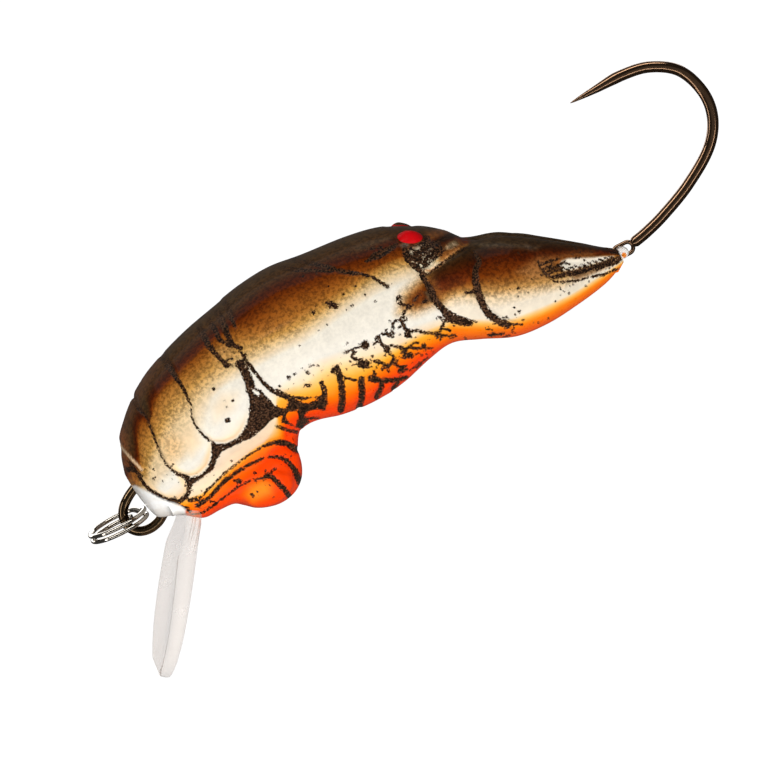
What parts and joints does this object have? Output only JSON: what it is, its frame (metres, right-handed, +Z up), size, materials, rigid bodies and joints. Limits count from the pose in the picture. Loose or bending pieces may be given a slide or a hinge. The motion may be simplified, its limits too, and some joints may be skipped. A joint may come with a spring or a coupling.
{
  "type": "crankbait lure",
  "caption": "Small crayfish-shaped crankbait: painted two-part body, clear diving lip, wire line tie with split ring, and a single barbless hook.",
  "frame": {"origin": "centre of the line tie's exposed wire eye, in the lure's middle plane", "axes": "+X from the nose back to the hook, +Z up towards the lure's back, +Y to the lure's right, with the lure level as drawn"},
  "size_m": [0.0438, 0.0094, 0.0198],
  "materials": {
    "painted_body": "moulded plastic, airbrushed olive-brown back, cream sides and orange belly with black line work, under a gloss clear coat",
    "clear_plastic": "clear moulded plastic with a faint haze",
    "black_nickel_wire": "black nickel plated wire, bright",
    "ballast_metal": "dull cast metal",
    "rattle_steel": "polished steel ball",
    "nickel_ring": "bright nickel plate",
    "black_nickel_hook": "bronze-black nickel plated carbon steel wire"
  },
  "bodies": {
    "root": {"left_shell": "painted_body", "right_shell": "painted_body", "diving_lip": "clear_plastic", "line_tie": "black_nickel_wire", "ballast_weight": "ballast_metal"},
    "rattle": {"rattle_ball": "rattle_steel"},
    "ring": {"split_ring": "nickel_ring"},
    "hook": {"hook": "black_nickel_hook"}
  },
  "joints": [
    {"name": "rattle_slide", "type": "slide", "parent": "root", "child": "rattle", "axis": [0, 1, 0], "range_m": [-0.0017, 0.0017]},
    {"name": "split_ring_swing", "type": "hinge", "parent": "root", "child": "ring", "pos_m": [0, 0, 0], "axis": [0, 1, 0], "range_deg": [-75, 75]},
    {"name": "hook_swing", "type": "hinge", "parent": "root", "child": "hook", "pos_m": [0.03175, 0, 0.00092], "axis": [0, 1, 0], "range_deg": [-50, 75]}
  ]
}
